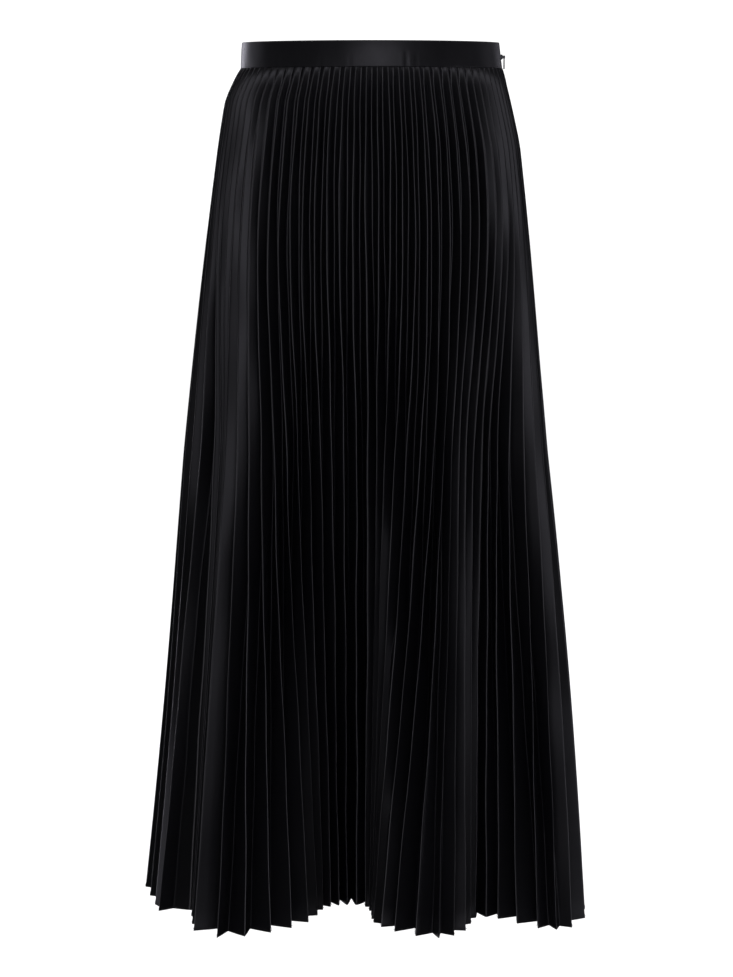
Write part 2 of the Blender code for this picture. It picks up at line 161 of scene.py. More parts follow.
# where pleats are let out flatter, or below zero pressed deeper, than the pressing alone would make them
Flat = namedtuple("Flat", "pleat spread top bottom share")
FLATS = [
    Flat(7.6, 3.4, 0.02, 0.34, 0.42),
    Flat(8.0, 1.2, 0.42, 0.98, -0.60),
    Flat(22.0, 1.3, 0.40, 0.70, 0.55),
    Flat(23.0, 1.2, 0.52, 0.86, 0.62),
    Flat(24.0, 1.2, 0.68, 0.98, 0.66),
    Flat(28.4, 2.6, 0.22, 0.60, 0.24),
    Flat(31.6, 2.8, 0.24, 0.98, 0.40),
    Flat(32.3, 2.5, 0.02, 0.34, 0.36),
    Flat(37.0, 1.4, 0.34, 0.60, -0.25),
    Flat(37.2, 1.6, 0.58, 0.98, 0.26),
]
FLAT_CORE = 1.4  # a flat place keeps its full share over the middle 1 - 1 / 1.4 of its spread
FLAT_START = 0.06  # it fades in over this much drop
FLAT_END = 0.12  # and out over this much
print(len(FOLDS), "fold rows and", len(FLATS), "flat places for", PLEATS, "pleats")

# %% Curves through the tables
def hermite(t, width, start, end, start_slope, end_slope):
    """A cubic from start to end over width, with the slopes given at its ends."""
    return (
        (2 * t**3 - 3 * t**2 + 1) * start
        + (t**3 - 2 * t**2 + t) * width * start_slope
        + (3 * t**2 - 2 * t**3) * end
        + (t**3 - t**2) * width * end_slope
    )


def along(rows, name, value):
    """A smooth curve through one column of a table, read at a value of its first column."""
    last = len(rows) - 1
    i = 0
    while i < last - 1 and rows[i + 1][0] <= value:
        i += 1

    def slope(j):
        low, high = rows[max(j - 1, 0)], rows[min(j + 1, last)]
        return (getattr(high, name) - getattr(low, name)) / (high[0] - low[0])

    start, end = rows[i], rows[i + 1]
    width = end[0] - start[0]
    t = (value - start[0]) / width
    return hermite(t, width, getattr(start, name), getattr(end, name), slope(i), slope(i + 1))


def turned(rows, turns):
    """The fold rows, numbered a whole turn further round."""
    return [row._replace(pleat=row.pleat + turns * PLEATS) for row in rows]


ROUND_FOLDS = turned(FOLDS[-3:], -1) + FOLDS + turned(FOLDS[:3], 1)


def angle_of(pleat):
    """Pleat 0 is at the side seam at -X, and the numbers run past the front."""
    return math.pi + 2 * math.pi * pleat / PLEATS


def oval(rows, pleat, value):
    """A point of the oval that a table gives at one height, at a pleat's angle."""
    across, deep = math.cos(angle_of(pleat)), math.sin(angle_of(pleat))
    side = "right" if across > 0 else "left"
    face = "back" if deep > 0 else "front"
    return along(rows, side, value) * across, along(rows, face, value) * deep


def crest(pleat, drop):
    """Where the outer fold of a pleat stands: over the hip oval, then through the knee and the hem."""
    if drop <= HIP:
        return oval(SECTIONS, pleat, drop)
    number = pleat % PLEATS
    step = HIP / 25
    top, above = oval(SECTIONS, number, HIP), oval(SECTIONS, number, HIP - step)
    point = []
    for axis, name in enumerate("xy"):
        knee = along(ROUND_FOLDS, "knee_" + name, number)
        hem = along(ROUND_FOLDS, "hem_" + name, number)
        top_slope = (top[axis] - above[axis]) / step
        knee_slope = (hem - top[axis]) / (LENGTH - HIP)
        hem_slope = (hem - knee) / (LENGTH - KNEE)
        if drop <= KNEE:
            width = KNEE - HIP
            point.append(hermite((drop - HIP) / width, width, top[axis], knee, top_slope, knee_slope))
        else:
            width = LENGTH - KNEE
            t = (drop - KNEE) / width
            swell = along(ROUND_FOLDS, "swell", number) * math.sin(math.pi * t) * (axis == 0)
            point.append(hermite(t, width, knee, hem, knee_slope, hem_slope) + swell)
    return tuple(point)


def lie(pleat, drop):
    """The way in from the crest line, its length for one pleat, and how tightly it bends."""
    before, here, after = crest(pleat - 0.5, drop), crest(pleat, drop), crest(pleat + 0.5, drop)
    run_x, run_y = after[0] - before[0], after[1] - before[1]
    pitch = math.hypot(run_x, run_y)
    heading_in = math.atan2(here[1] - before[1], here[0] - before[0])
    heading_out = math.atan2(after[1] - here[1], after[0] - here[0])
    turn = (heading_out - heading_in + math.pi) % (2 * math.pi) - math.pi
    return (-run_y / pitch, run_x / pitch), pitch, turn / (pitch / 2)


def held(value):
    """A value kept between 0 and 1."""
    return max(0.0, min(1.0, value))


def openness(pleat, drop):
    """How far the pleats are let out flat in a few places, as a share of their full depth."""
    share = 1.0
    for flat in FLATS:
        across = held(FLAT_CORE * (1 - abs(pleat - flat.pleat) / flat.spread))
        down = held((drop - flat.top) / FLAT_START) * held((flat.bottom - drop) / FLAT_END)
        share -= flat.share * across * across * (3 - 2 * across) * down
    return share


def waist_rise(pleat):
    """How much higher the waist seam is at this pleat than at the front."""
    return BACK_RISE * max(0.0, math.sin(angle_of(pleat))) ** 2


def height_of(pleat, drop):
    """World height of a drop: the rise at the back fades out towards a level hem."""
    return -BAND_HALF - drop + waist_rise(pleat) * (1 - drop / LENGTH)


def face_width(drop):
    """How wide one side of a pleat is at a drop."""
    return FACE_AT_WAIST + (FACE_AT_HEM - FACE_AT_WAIST) * drop / LENGTH


# %% [markdown]
# ## The pleats, level by level
# At one height the cloth is a zigzag. A pressed fold is never a knife edge: satin rounds over about a
# millimetre. So each face gets a few points close to its two folds, where it turns, and a few between, where
# it bows a little. Every pleat also wanders by a fraction of a millimetre, as hand-fed pleats do.

# %% Pleat shape
Turn = namedtuple("Turn", "x y way_x way_y half depth")
FULL_TURN = 6.283
ROUNDING = 0.0008  # half the width over which a fold turns
BEYOND_ROUNDING = 0.0013  # a face is flat from here on
BOW = 0.012  # how far a face bulges, as a share of its width
WANDER = 0.0005
HEM_ROLL = 0.0003  # the turned hem stands this far out
HEM_DEPTH = 0.0038  # and is this tall
SEAM_OVERLAP = 0.0001  # each side of a closed side seam reaches this far over the seam line


def wander(pleat, drop):
    """A slow sideways drift of one fold, different for each."""
    first = math.sin(12.9898 * pleat) * 43.7  # two starts that look random from fold to fold
    second = math.sin(78.233 * pleat) * 21.3
    wave = math.sin(FULL_TURN * drop / 0.31 + first) + 0.6 * math.sin(FULL_TURN * drop / 0.13 + second)
    return WANDER * wave * min(1.0, drop / 0.06)


def turns_at(first, last, drop):
    """The folds of a panel at one drop, valley, crest, valley and so on."""
    known = [lie(first + k / 2, drop) for k in range(-2, 2 * (last - first) + 3)]
    spots = []
    for k in range(2 * (last - first) + 1):
        near = known[k : k + 5]
        way_in, pitch, _ = known[k + 2]
        half = sum(length for _, length, _ in near) / len(near) / 2
        bend = max(turn for _, _, turn in near)
        face = face_width(drop)
        pressed = min(1.0, PRESSED + (1 - PRESSED) * drop / RELEASE)
        depth = math.sqrt(max(face**2 - half**2, (FLATTEST * face) ** 2)) * pressed
        wall = SOLID_CLOTH * math.hypot(half, depth) / half
        if bend > 0:
            depth = min(depth, max((1 - FOLD_ROOM / (2 * half)) / bend - wall, FLATTEST * face))
        pleat = first + k / 2
        depth *= openness(pleat, drop)
        inset = depth if k % 2 == 0 else 0.0
        shift = wander(pleat, drop) / pitch
        if pleat == first:
            shift = -SEAM_OVERLAP / pitch
        if pleat == last:
            shift = SEAM_OVERLAP / pitch
        x, y = crest(pleat + shift, drop)
        spots.append(Turn(x + way_in[0] * inset, y + way_in[1] * inset, *way_in, half, depth))
    return spots


def across_face(half):
    """Where the points of one face lie between its two folds, from 0 to 1."""
    near = min(0.08, ROUNDING / 2 / half)
    turned_over = min(0.19, ROUNDING / half)
    flat = min(0.26, BEYOND_ROUNDING / half)
    return [0.0, near, turned_over, flat, 0.50, 1 - flat, 1 - turned_over, 1 - near]


FACE_POINTS = len(across_face(0.005))


def zigzag(first, last, drop):
    """All points of a panel at one drop, as (pleat number, x, y), rounded at the folds."""
    spots = turns_at(first, last, drop)
    points = []
    for k, (a, b) in enumerate(zip(spots[:-1], spots[1:])):
        sign = 1 if k % 2 == 0 else -1  # even faces run from a valley out to a crest
        half, depth = (a.half + b.half) / 2, (a.depth + b.depth) / 2
        run_x, run_y = b.x - a.x, b.y - a.y
        run = math.hypot(run_x, run_y)
        out_x, out_y = run_y / run, -run_x / run
        round_over = min(ROUNDING, 0.3 * half)
        steep = depth / half / (2 * round_over)
        shares = across_face(half) + ([1.0] if k == len(spots) - 2 else [])
        for share in shares:
            push_a = steep * max(0.0, round_over - share * half) ** 2
            push_b = steep * max(0.0, round_over - (1 - share) * half) ** 2
            bulge = BOW * run * math.sin(math.pi * share)
            x = a.x + run_x * share + out_x * bulge - sign * a.way_x * push_a + sign * b.way_x * push_b
            y = a.y + run_y * share + out_y * bulge - sign * a.way_y * push_a + sign * b.way_y * push_b
            points.append((first + (k + share) / 2, x, y))
    return points


# %% [markdown]
# ## Cloth from a grid
# A grid primitive is a flat piece of cloth. Its points are moved to the zigzag, row by row, and its UV map
# keeps the pleat number across and the metres below the waist seam. Solidify then gives it its thickness.

# %% Cloth helper
def clear_selection():
    """Nothing selected, so that an operator acts on the new piece alone."""
    bpy.ops.object.select_all(action="DESELECT")


def apply_all(piece):
    """Applies every modifier of a piece in order."""
    clear_selection()
    piece.select_set(True)
    bpy.context.view_layer.objects.active = piece
    for modifier in list(piece.modifiers):
        bpy.ops.object.modifier_apply(modifier=modifier.name)


def cloth_from_rows(name, rows, flat_rows, thickness, offset=-1.0):
    """A grid with its points placed row by row, given a thickness."""
    columns, levels = len(rows[0]) - 1, len(rows) - 1
    clear_selection()
    bpy.ops.mesh.primitive_grid_add(x_subdivisions=columns, y_subdivisions=levels, size=1)
    piece = bpy.context.object
    piece.name = name
    mesh = piece.data
    mesh.name = name
    spots = [0.0] * (3 * len(mesh.vertices))
    flat = {}
    for vert in mesh.vertices:
        i = round((vert.co.x + 0.5) * columns)
        j = round((0.5 - vert.co.y) * levels)
        spots[3 * vert.index : 3 * vert.index + 3] = rows[j][i]
        flat[vert.index] = flat_rows[j][i]
    mesh.vertices.foreach_set("co", spots)
    uv = mesh.uv_layers[0].data
    for loop in mesh.loops:
        uv[loop.index].uv = flat[loop.vertex_index]
    mesh.update()
    thick = piece.modifiers.new("cloth", "SOLIDIFY")
    thick.thickness = thickness
    thick.offset = offset
    apply_all(piece)
    return piece


def smooth(piece, angle=50):
    """Rounds the shading, but keeps edges sharper than the angle."""
    clear_selection()
    piece.select_set(True)
    bpy.context.view_layer.objects.active = piece
    bpy.ops.object.shade_smooth_by_angle(angle=math.radians(angle))


# %% The two pleated panels
LEVELS = 62  # rows of points from the band to the hem
BODY_OF_CLOTH = "skirt"
TUCK = 0.0016  # how far the pleats' top reaches up between the band's layers
TUCK_DEPTH = 0.0010  # and how far behind the band's face


def panel_drops():
    """Closer rows under the band, where the pleats open, and three rows for the narrow hem."""
    main = [(LENGTH - HEM_DEPTH - 0.0006) * (j / LEVELS) ** 1.3 for j in range(LEVELS + 1)]
    return main + [LENGTH - HEM_DEPTH, LENGTH - 0.0008, LENGTH]


def tucked_row(first, last):
    """The seam allowance: the pleats' top, pressed flat between the two layers of the band."""
    row = []
    for pleat, x, y in zigzag(first, last, 0.0):
        middle_x, middle_y = oval(BAND_EDGES, pleat, -1.0)
        size = math.hypot(middle_x, middle_y)
        share = 1 - TUCK_DEPTH / size
        flat_x, flat_y = middle_x * share, middle_y * share
        row.append((flat_x * 0.8 + x * 0.2, flat_y * 0.8 + y * 0.2, height_of(pleat, 0.0) + TUCK))
    return row


def pleated_panel(name, node, first, last):
    """One panel of finer cloth on its node's form."""
    rows, flat_rows = [tucked_row(first, last)], [[]]
    for drop in panel_drops():
        roll = HEM_ROLL if drop > LENGTH - HEM_DEPTH - 0.0001 else 0.0
        row, flat = [], []
        for pleat, x, y in zigzag(first, last, drop):
            size = math.hypot(x, y)
            row.append((x * (1 + roll / size), y * (1 + roll / size), height_of(pleat, drop)))
            flat.append((pleat, drop))
        rows.append(row)
        flat_rows.append(flat)
    flat_rows[0] = [(pleat, 0.0) for pleat, _ in flat_rows[1]]
    panel = cloth_from_rows(name, rows, flat_rows, CLOTH)
    smooth(panel, 60)
    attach(panel, BODY_OF_CLOTH)
    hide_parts(node)
    return panel


front_panel = pleated_panel("front_panel", "skirt_front", 0, FRONT_PLEATS)
back_panel = pleated_panel("back_panel", "skirt_back", FRONT_PLEATS, PLEATS)
print("front panel:", len(front_panel.data.polygons), "faces")

# %% [markdown]
# ## The waistband
# One strip of satin folded over a firm interfacing. It is smooth, but the seam below it draws in a few
# small puckers where the pleats are bulky, and its upper fold is rounded.

# %% Waistband
BAND_COLUMNS = 400
BAND_ROWS = 16
BAND_LENGTH = 0.72
BAND_FOLD = 0.0008  # radius of its folded edges
SLIT_HALF = 0.0008  # half the opening for the slider's neck
Pucker = namedtuple("Pucker", "pleat width depth top")
PUCKERS = [
    Pucker(23.3, 0.16, 0.00045, 0.35),
    Pucker(24.3, 0.10, 0.00030, 0.25),
    Pucker(15.0, 0.14, 0.00018, 0.10),
    Pucker(17.9, 0.12, 0.00015, 0.10),
    Pucker(30.6, 0.18, 0.00022, 0.00),
    Pucker(10.2, 0.16, 0.00018, 0.00),
    Pucker(52.5, 0.14, 0.00030, 0.20),
    Pucker(61.2, 0.12, 0.00022, 0.10),
    Pucker(66.8, 0.16, 0.00028, 0.30),
]


def band_span(pleat):
    """The heights of the waistband's lower and top edge at a pleat."""
    rise = waist_rise(pleat)
    return rise - BAND_HALF + SEAM_GAP, rise + BAND_HALF - SIDE_DIP * math.cos(angle_of(pleat)) ** 2


def band_point(pleat, share, inset):
    """A point of the waistband: share runs from -1 at its lower edge to 1 at its top edge."""
    x, y = oval(BAND_EDGES, pleat, share)
    after, before = oval(BAND_EDGES, pleat + 0.1, share), oval(BAND_EDGES, pleat - 0.1, share)
    run_x, run_y = after[0] - before[0], after[1] - before[1]
    run = math.hypot(run_x, run_y)
    low, high = band_span(pleat)
    z = low + (high - low) * (share + 1) / 2
    return x - run_y / run * inset, y + run_x / run * inset, z


def band_dent(pleat, share):
    """How far the band's face is drawn in: its puckers, and a faint wave."""
    dent = 0.00008 * math.sin(1.7 * pleat) * math.cos(1.3 * share + pleat * 0.4)
    for pucker in PUCKERS:
        beside = (pleat - pucker.pleat) / pucker.width
        fade = held((pucker.top - share) / 0.9)
        dent += pucker.depth * math.exp(-(beside**2)) * fade * (2 - fade)
        ridge = (abs(pleat - pucker.pleat) - 2.2 * pucker.width) / pucker.width
        dent -= 0.4 * pucker.depth * math.exp(-(ridge**2)) * fade
    return dent


def waistband():
    """The band as one thick strip, open at the zip."""
    rim = band_point(FRONT_PLEATS + 0.1, 0.0, 0.0)
    slit = 0.1 * SLIT_HALF / abs(rim[1])
    start, end = FRONT_PLEATS + slit, FRONT_PLEATS + PLEATS - slit
    rows, flat_rows = [], []
    for j in range(BAND_ROWS + 1):
        share = 1 - 2 * j / BAND_ROWS
        row, flat = [], []
        for i in range(BAND_COLUMNS + 1):
            pleat = start + (end - start) * i / BAND_COLUMNS
            row.append(band_point(pleat, share, band_dent(pleat % PLEATS, share)))
            flat.append((BAND_LENGTH * i / BAND_COLUMNS, 2 * BAND_HALF * (share + 1) / 2))
        rows.append(row)
        flat_rows.append(flat)
    band = cloth_from_rows("waistband_cloth", rows, flat_rows, BAND_WALL)
    fold = band.modifiers.new("fold", "BEVEL")
    fold.width = BAND_FOLD
    fold.segments = 3
    fold.limit_method = "ANGLE"
    fold.angle_limit = math.radians(50)
    apply_all(band)
    smooth(band, 60)
    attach(band, BODY_OF_CLOTH)
    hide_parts("waistband")
    return band


band = waistband()
print("waistband:", len(band.data.polygons), "faces")

# %% [markdown]
# ## The hidden zip
# An invisible zip is two woven tapes with a fine nylon coil between them, sewn behind the side seam. From
# outside only the little drop-shaped pull shows, at the lower corner of the band.

# %% Zip tapes and coil
TAPE_WALL = 0.0008
TAPE_REACH = (0.0009, 0.0030, 0.0052, 0.0074, 0.0095)  # across one tape, from its toothed edge
TAPE_TOP = 0.0075  # height of the tape's top end
TAPE_END = 0.195  # drop of its lower end
TAPE_STAND = 0.0007  # how far the tape stands off the folds behind it
COIL_START = -0.0080  # height of the first turn
COIL_PITCH = 0.0012
COIL_HALF_WIDTH = 0.00068
COIL_HALF_DEPTH = 0.00028
COIL_WIRE = 0.00017
TURN_POINTS = 8


def tape_point(reach, side, z, inset):
    """A point of the zip tape, reach from the seam, behind the band or behind the pleats."""
    if z > -BAND_HALF:
        pleat = FRONT_PLEATS + side * reach / (2 * math.pi * BAND_EDGES[0].front / PLEATS)
        low, high = band_span(pleat)
        share = 2 * (z - low) / (high - low) - 1
        x, y, _ = band_point(pleat, share, BAND_WALL + SEAM_GAP + inset)
        return x, y, z
    drop = -BAND_HALF - z
    _, pitch, _ = lie(FRONT_PLEATS, drop)
    pleat = FRONT_PLEATS + side * reach / pitch
    way_in, _, _ = lie(pleat, drop)
    middle = turns_at(FRONT_PLEATS - 1, FRONT_PLEATS + 1, drop)[2]
    wall = SOLID_CLOTH * math.hypot(middle.half, middle.depth) / middle.half
    x, y = crest(pleat, drop)
    behind = middle.depth + wall + TAPE_STAND + inset
    return x + way_in[0] * behind, y + way_in[1] * behind, z


def zip_tape(name, node, side):
    """One woven tape on its node's form."""
    heights = [TAPE_TOP, -BAND_HALF + SEAM_GAP]
    heights += [-BAND_HALF - 0.006 - (TAPE_END - 0.006) * j / 36 for j in range(37)]
    rows = [[tape_point(reach, side, z, 0.0) for reach in TAPE_REACH] for z in heights]
    flat_rows = [[(reach, z) for reach in TAPE_REACH] for z in heights]
    tape = cloth_from_rows(name, rows, flat_rows, TAPE_WALL, -1.0 if side > 0 else 1.0)
    smooth(tape, 50)
    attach(tape, BODY_OF_CLOTH)
    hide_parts(node)
    return tape


tape_front = zip_tape("tape_front", "zip_tape_front", -1)
tape_back = zip_tape("tape_back", "zip_tape_back", 1)


def zip_coil():
    """The closed coil: a flat spiral of nylon between the two tapes."""
    clear_selection()
    bpy.ops.curve.primitive_bezier_curve_add()
    coil = bpy.context.object
    coil.name = "zip_coil"
    shape = coil.data
    shape.splines.clear()
    turns = int((TAPE_END - 0.004 + COIL_START + BAND_HALF) / COIL_PITCH)
    wire = shape.splines.new("POLY")
    wire.points.add(turns * TURN_POINTS)
    for n, point in enumerate(wire.points):
        z = COIL_START - COIL_PITCH * n / TURN_POINTS
        swing = 2 * math.pi * n / TURN_POINTS
        x, y, _ = tape_point(0.00001, 1, z, TAPE_WALL / 2 + COIL_HALF_DEPTH * math.sin(swing))
        point.co = (x, y + COIL_HALF_WIDTH * math.cos(swing), z, 1)
    shape.dimensions = "3D"
    shape.bevel_depth = COIL_WIRE
    shape.bevel_resolution = 1
    shape.use_fill_caps = True
    clear_selection()
    coil.select_set(True)
    bpy.context.view_layer.objects.active = coil
    bpy.ops.object.convert(target="MESH")
    bpy.ops.object.transform_apply(location=True, rotation=True, scale=True)
    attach(coil, BODY_OF_CLOTH)
    return coil


coil = zip_coil()
print("coil:", len(coil.data.polygons), "faces")

# %% [markdown]
# ## Sewing
# One stitch is modelled once, as a tiny rounded bar of thread, and copied along each seam. The rows are the
# narrow hem, the seam inside the band and the two lines that hold the zip tapes.

# %% Stitch rows
STITCH = 0.0024  # length of the thread that shows
STITCH_STEP = 0.0031
THREAD = 0.00028  # radius
HEM_STITCH_RISE = 0.0022  # of the row above the hem's edge
BAND_STITCH_SHARE = -0.86  # height of the row inside the band, from -1 at its lower edge
TAPE_STITCH_REACH = 0.0078  # of the row on a tape, from the seam
PROBE = 0.001  # a second point this far off the cloth gives the way the stitches face


def one_stitch():
    """A rounded bar of thread along X, ready to be copied."""
    clear_selection()
    bpy.ops.mesh.primitive_cylinder_add(vertices=6, radius=THREAD, depth=STITCH, rotation=(0, math.pi / 2, 0))
    bar = bpy.context.object
    bpy.ops.object.transform_apply(location=True, rotation=True, scale=True)
    bpy.ops.object.mode_set(mode="EDIT")
    bpy.ops.mesh.select_all(action="SELECT")
    bpy.ops.mesh.subdivide(number_cuts=1)
    bpy.ops.object.mode_set(mode="OBJECT")
    for vert in bar.data.vertices:
        end = abs(vert.co.x) / (STITCH / 2)
        vert.co.y *= 1 - 0.45 * end
        vert.co.z *= 1 - 0.45 * end
        vert.co.z -= 0.0001 * end
    return bar


def stitch_row(name, path, out_of):
    """Copies the stitch along a path of points; out_of gives the way off the cloth at each point."""
    bar = one_stitch()
    base = [vert.co.copy() for vert in bar.data.vertices]
    shape = [tuple(face.vertices) for face in bar.data.polygons]
    bpy.data.objects.remove(bar)
    verts, faces = [], []
    travelled, next_at = 0.0, STITCH
    for n, (a, b) in enumerate(zip(path[:-1], path[1:])):
        run = (b - a).length
        while next_at < travelled + run:
            ahead = (b - a).normalized()
            out = out_of(n)
            out = (out - ahead * out.dot(ahead)).normalized()
            side = ahead.cross(out)
            centre = a.lerp(b, (next_at - travelled) / run) + out * THREAD * 0.45
            start = len(verts)
            for co in base:
                verts.append(centre + ahead * co.x + side * co.y + out * co.z)
            faces += [tuple(start + index for index in face) for face in shape]
            next_at += STITCH_STEP
        travelled += run
    mesh = bpy.data.meshes.new(name)
    mesh.from_pydata(verts, [], faces)
    row = bpy.data.objects.new(name, mesh)
    bpy.context.scene.collection.objects.link(row)
    smooth(row, 60)
    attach(row, BODY_OF_CLOTH)
    return row


def hem_row(name, first, last):
    """The hem's stitching, on the outside of every face, just above its edge."""
    drop = LENGTH - HEM_STITCH_RISE
    path = []
    for pleat, x, y in zigzag(first, last, drop):
        path.append(Vector((x, y, height_of(pleat, drop))))
    sides = []
    for a, b in zip(path[:-1], path[1:]):
        sides.append(Vector((b.y - a.y, a.x - b.x, 0)).normalized())
    lifted = []
    for n, spot in enumerate(path):
        lifted.append(spot + sides[min(n, len(sides) - 1)] * HEM_ROLL)
    return stitch_row(name, lifted, lambda n: sides[n])


hem_stitches_front = hem_row("hem_stitches_front", 0, FRONT_PLEATS)
hem_stitches_back = hem_row("hem_stitches_back", FRONT_PLEATS, PLEATS)


def band_row():
    """The row that closes the band's inner fold, seen only from inside."""
    spots, ways = [], []
    for i in range(301):
        pleat = FRONT_PLEATS + 1.6 + (PLEATS - 3.2) * i / 300
        spots.append(Vector(band_point(pleat, BAND_STITCH_SHARE, BAND_WALL)))
        inner = Vector(band_point(pleat, BAND_STITCH_SHARE, BAND_WALL + PROBE))
        ways.append((inner - spots[-1]).normalized())
    return stitch_row("band_stitches", spots, lambda n: ways[n])


band_stitches = band_row()


def tape_row(name, side):
    """The line that holds a tape, on its inner face."""
    spots, ways = [], []
    for j in range(61):
        z = -0.021 - (TAPE_END - 0.010) * j / 60
        spots.append(Vector(tape_point(TAPE_STITCH_REACH, side, z, TAPE_WALL)))
        inner = Vector(tape_point(TAPE_STITCH_REACH, side, z, TAPE_WALL + PROBE))
        ways.append((inner - spots[-1]).normalized())
    return stitch_row(name, spots, lambda n: ways[n])


tape_stitches_front = tape_row("tape_stitches_front", -1)
tape_stitches_back = tape_row("tape_stitches_back", 1)
print("hem stitches:", len(hem_stitches_front.data.polygons), "faces in front")

# %% [markdown]
# ## Writing shader maths
# A procedural finish is mostly arithmetic on coordinates. A small class wraps a socket and overloads the
# operators, so that an expression in Python becomes a chain of Math nodes.


# %% Socket class
class Value:
    """A number that varies over the surface."""

    def __init__(self, tree, socket):
        self.tree = tree
        self.socket = socket

    def math(self, operation, other=None, swap=False):
        node = self.tree.nodes.new("ShaderNodeMath")
        node.operation = operation
        inputs = [self] if other is None else [self, other]
        if swap:
            inputs.reverse()
        for place, item in enumerate(inputs):
            if isinstance(item, Value):
                self.tree.links.new(item.socket, node.inputs[place])
            else:
                node.inputs[place].default_value = item
        return Value(self.tree, node.outputs[0])

    def __add__(self, other):
        return self.math("ADD", other)

    __radd__ = __add__

    def __sub__(self, other):
        return self.math("SUBTRACT", other)

    def __rsub__(self, other):
        return self.math("SUBTRACT", other, swap=True)

    def __mul__(self, other):
        return self.math("MULTIPLY", other)

    __rmul__ = __mul__

    def __truediv__(self, other):
        return self.math("DIVIDE", other)

    def fract(self):
        return self.math("FRACT")

    def size(self):
        return self.math("ABSOLUTE")

    def sine(self):
        return self.math("SINE")

    def held(self):
        """Kept between 0 and 1."""
        return self.math("MINIMUM", 1.0).math("MAXIMUM", 0.0)


class Finish:
    """A material with its main shader and the means to add nodes."""

    def __init__(self, name):
        self.material = bpy.data.materials.new(name)
        self.material.use_nodes = True
        self.tree = self.material.node_tree
        self.shader = self.tree.nodes["Principled BSDF"]

    def node(self, kind, settings=(), output=0, **values):
        """Adds any node: its settings first, then its sockets, by name with _ for a space."""
        made = self.tree.nodes.new(kind)
        for key, setting in dict(settings).items():
            setattr(made, key, setting)
        for key, value in values.items():
            socket = made.inputs[key.replace("_", " ")]
            if isinstance(value, Value):
                self.tree.links.new(value.socket, socket)
            else:
                socket.default_value = value
        return Value(self.tree, made.outputs[output])

    def set(self, **values):
        """Sets or links the main shader's sockets."""
        for key, value in values.items():
            socket = self.shader.inputs[key.replace("_", " ")]
            if isinstance(value, Value):
                self.tree.links.new(value.socket, socket)
            else:
                socket.default_value = value

    def blend(self, factor, low, high):
        """A colour between two colours."""
        made = self.tree.nodes.new("ShaderNodeMix")
        made.data_type = "RGBA"
        self.tree.links.new(factor.socket, made.inputs[0])
        made.inputs[6].default_value = low
        made.inputs[7].default_value = high
        return Value(self.tree, made.outputs[2])

    def on(self, *pieces):
        """Gives the finish to pieces."""
        for piece in pieces:
            piece.data.materials.clear()
            piece.data.materials.append(self.material)


# %% [markdown]
# ## Black satin
# Satin has long warp floats that lie side by side, so it shines in a broad, soft way. A fine pale line is
# painted along every crest from the band to the hem, a painted highlight for the rounded fold that grows paler
# towards the hem. Fainter painted highlights run along the valleys and fade as the pleats get wider. Just
# under the band, where the pleats open, a painted sheen makes the cloth paler for a few centimetres, longest
# near the side seams, and the whole cloth grows a little paler towards the hem.

# %% Pleated satin finish
DARK = (0.0009, 0.0008, 0.0019, 1)
# colour of the painted highlights and sheen, also the pale end of the band's random tone and of the paling
# towards the hem
PAINTED_SHEEN_AND_PALE_TONE = (0.054, 0.0525, 0.0605, 1)
PAINTED_LINE_WIDTH = 0.0009  # of a painted highlight line, on each side of its fold
WARP = 0.00035  # distance from one warp float to the next
WEFT = 0.00050


def pleated_satin(name):
    """Satin with painted highlights along its crests and valleys, which follow the pleat numbers in the UV
    map.
    """
    cloth = Finish(name)
    place = cloth.node("ShaderNodeUVMap")
    parts = cloth.tree.nodes.new("ShaderNodeSeparateXYZ")
    cloth.tree.links.new(place.socket, parts.inputs[0])
    pleat, drop = Value(cloth.tree, parts.outputs[0]), Value(cloth.tree, parts.outputs[1])
    face = FACE_AT_WAIST + drop * ((FACE_AT_HEM - FACE_AT_WAIST) / LENGTH)
    from_crest = (pleat.fract() - 0.5).size() * 2 * face
    from_valley = face - from_crest
    # painted highlight: a fine pale line along each crest, and a fainter one along each valley that fades
    # lower down
    painted_crest_highlight = (1 - from_crest / PAINTED_LINE_WIDTH).held()
    painted_valley_highlight = (1 - from_valley / PAINTED_LINE_WIDTH).held() * (1.25 - drop / 0.48).held()
    point = cloth.node("ShaderNodeTexCoord", output=3)
    cloud = cloth.node("ShaderNodeTexNoise", Vector=point, Scale=9.0, Detail=3.0, Roughness=0.6)
    grain = cloth.node("ShaderNodeTexNoise", Vector=point, Scale=420.0, Detail=2.0, Roughness=0.5)
    # painted sheen just under the band, reaching furthest down near the side seams
    sideways = ((pleat / FRONT_PLEATS).fract() - 0.5).size() * 2
    painted_sheen_under_band = (1 - drop / (0.045 + 0.08 * sideways)).held() * 0.058
    painted_crest_shine = painted_crest_highlight * (0.55 + 0.60 * cloud) * (0.34 + 0.80 * drop)
    painted_valley_shine = painted_valley_highlight * (0.28 + 0.33 * cloud)
    # all the painted highlights and sheen together, plus a paling of the cloth towards the hem
    painted_sheen_and_paling = (painted_crest_shine + painted_valley_shine + painted_sheen_under_band + drop * 0.030).held()
    colour = cloth.blend(painted_sheen_and_paling, DARK, PAINTED_SHEEN_AND_PALE_TONE)
    warp = (pleat * face * 2 * (FULL_TURN / WARP)).sine()
    weft = (drop * (FULL_TURN / WEFT)).sine()
    weave = warp * 0.5 + weft * 0.25 + grain * 0.6
    bump = cloth.node("ShaderNodeBump", Strength=0.06, Distance=0.0002, Height=weave)
    cloth.set(
        Base_Color=colour,
        Roughness=0.32 + 0.08 * cloud + 0.05 * grain,
        Normal=bump,
        Specular_IOR_Level=0.5,
    )
    return cloth


satin = pleated_satin("pleated_satin")
satin.on(front_panel, back_panel)


# %% Band satin
PAINTED_FOLD_LINE_HEIGHT = 0.0254  # height of the painted highlight along the band's upper fold
